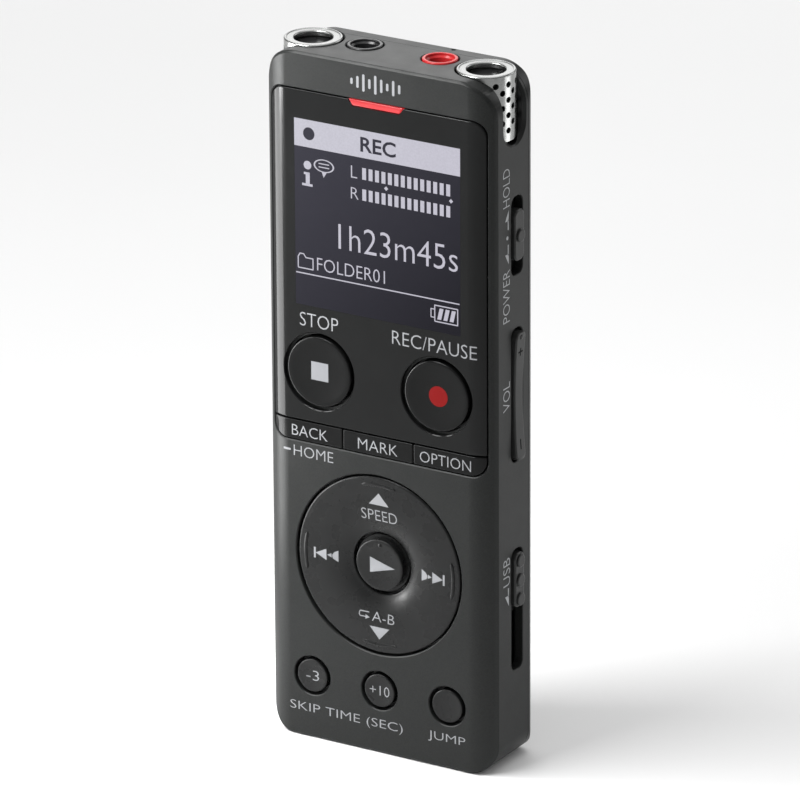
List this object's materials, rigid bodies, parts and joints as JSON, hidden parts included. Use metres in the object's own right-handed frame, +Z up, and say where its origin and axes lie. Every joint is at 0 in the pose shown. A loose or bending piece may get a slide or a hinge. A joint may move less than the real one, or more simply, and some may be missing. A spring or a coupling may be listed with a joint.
{
  "type": "portable field recorder",
  "caption": "Slim upright sound recorder with a dark screen, round stop and record buttons, a control ring, corner microphones and a slide-out plug.",
  "frame": {"origin": "middle of the flat bottom end, on the surface that the recorder stands on", "axes": "+Z up along the recorder, -Y out of the front with the screen and keys, +X towards the side with the switches"},
  "size_m": [0.0375, 0.0122, 0.102],
  "materials": {
    "case_paint": "dark gunmetal satin paint with a fine sparkle",
    "window": "polished smoked acrylic",
    "key_gloss": "black semi-gloss moulding with a spun top",
    "key_satin": "dark grey satin moulding",
    "red_lens": "clear red light guide",
    "red_plastic": "red moulded collar",
    "mic_metal": "turned satin metal",
    "steel": "plated steel",
    "black_plastic": "black moulded plastic",
    "rubber": "black silicone rubber",
    "board": "green solder mask",
    "contact": "gold plating",
    "screen": "dark display glass",
    "foil": "grey wrap",
    "flex": "amber film"
  },
  "bodies": {
    "housing": {"front_case": "case_paint", "rear_cover": "case_paint", "case_screw_1": "steel", "case_screw_2": "steel", "case_screw_3": "steel", "board_screw_1": "steel", "board_screw_2": "steel", "window_panel": "window", "display_gasket": "rubber", "display_module": "screen", "display_flex": "flex", "led_light_bar": "red_lens", "led_emitter": "contact", "hold_switch": "foil", "rocker_pin": "steel", "volume_switch_up": "foil", "volume_switch_down": "foil", "usb_flex": "flex", "usb_guide": "black_plastic", "left_mic_shell": "mic_metal", "left_mic_screen": "black_plastic", "left_mic_capsule": "mic_metal", "left_mic_boot": "rubber", "right_mic_shell": "mic_metal", "right_mic_screen": "black_plastic", "right_mic_capsule": "mic_metal", "right_mic_boot": "rubber", "centre_mic": "contact", "headphone_jack_collar": "black_plastic", "headphone_jack": "black_plastic", "mic_jack_collar": "red_plastic", "mic_jack": "black_plastic", "speaker": "foil", "speaker_gasket": "rubber", "main_board": "board", "dome_sheet": "contact", "battery": "foil", "card_socket": "steel"},
    "stop": {"stop_button": "key_gloss"},
    "record": {"record_button": "key_gloss"},
    "back": {"back_key": "key_gloss"},
    "mark": {"mark_key": "key_gloss"},
    "option": {"option_key": "key_gloss"},
    "pad": {"ring_pad": "rubber"},
    "ring": {"control_ring": "key_satin"},
    "play": {"play_button": "key_satin"},
    "skip_back": {"skip_back_key": "key_satin"},
    "skip_ahead": {"skip_ahead_key": "key_satin"},
    "jump": {"jump_key": "key_satin"},
    "hold": {"hold_slider": "key_satin"},
    "volume": {"volume_rocker": "key_satin"},
    "usb": {"usb_slide_knob": "key_satin", "usb_carriage": "black_plastic", "usb_plug_shell": "steel", "usb_plug_tongue": "black_plastic"},
    "card_door": {"card_cover": "case_paint"}
  },
  "joints": [
    {"name": "stop_press", "type": "slide", "parent": "housing", "child": "stop", "axis": [0, 1, 0], "range_m": [0, 0.00035], "stiffness_N_per_m": 400, "springref_m": -0.0006},
    {"name": "record_press", "type": "slide", "parent": "housing", "child": "record", "axis": [0, 1, 0], "range_m": [0, 0.00035], "stiffness_N_per_m": 400, "springref_m": -0.0006},
    {"name": "back_press", "type": "slide", "parent": "housing", "child": "back", "axis": [0, 1, 0], "range_m": [0, 0.0003], "stiffness_N_per_m": 400, "springref_m": -0.0006},
    {"name": "mark_press", "type": "slide", "parent": "housing", "child": "mark", "axis": [0, 1, 0], "range_m": [0, 0.0003], "stiffness_N_per_m": 400, "springref_m": -0.0006},
    {"name": "option_press", "type": "slide", "parent": "housing", "child": "option", "axis": [0, 1, 0], "range_m": [0, 0.0003], "stiffness_N_per_m": 400, "springref_m": -0.0006},
    {"name": "ring_rock_sideways", "type": "hinge", "parent": "housing", "child": "pad", "pos_m": [0, -0.0038, 0.0284], "axis": [0, 0, 1], "range_deg": [-1, 1], "stiffness_Nm_per_rad": 0.1},
    {"name": "ring_rock_up_down", "type": "hinge", "parent": "pad", "child": "ring", "pos_m": [0, -0.0038, 0.0284], "axis": [1, 0, 0], "range_deg": [-1, 1], "stiffness_Nm_per_rad": 0.1},
    {"name": "play_press", "type": "slide", "parent": "housing", "child": "play", "axis": [0, 1, 0], "range_m": [0, 0.00035], "stiffness_N_per_m": 400, "springref_m": -0.0006},
    {"name": "skip_back_press", "type": "slide", "parent": "housing", "child": "skip_back", "axis": [0, 1, 0], "range_m": [0, 0.00035], "stiffness_N_per_m": 300, "springref_m": -0.0006},
    {"name": "skip_ahead_press", "type": "slide", "parent": "housing", "child": "skip_ahead", "axis": [0, 1, 0], "range_m": [0, 0.00035], "stiffness_N_per_m": 300, "springref_m": -0.0006},
    {"name": "jump_press", "type": "slide", "parent": "housing", "child": "jump", "axis": [0, 1, 0], "range_m": [0, 0.00035], "stiffness_N_per_m": 300, "springref_m": -0.0006},
    {"name": "hold_slide", "type": "slide", "parent": "housing", "child": "hold", "axis": [0, 0, 1], "range_m": [-0.0012, 0.0016]},
    {"name": "volume_rock", "type": "hinge", "parent": "housing", "child": "volume", "pos_m": [0.0156, 0.0011, 0.05488], "axis": [0, 1, 0], "range_deg": [-2.5, 2.5], "stiffness_Nm_per_rad": 0.03},
    {"name": "usb_slide", "type": "slide", "parent": "housing", "child": "usb", "axis": [0, 0, -1], "range_m": [0, 0.0084], "deforming": ["usb_flex"]},
    {"name": "card_door_swing", "type": "hinge", "parent": "housing", "child": "card_door", "pos_m": [-0.01765, 0.0011, 0.05195], "axis": [0, -1, 0], "range_deg": [0, 95]}
  ]
}
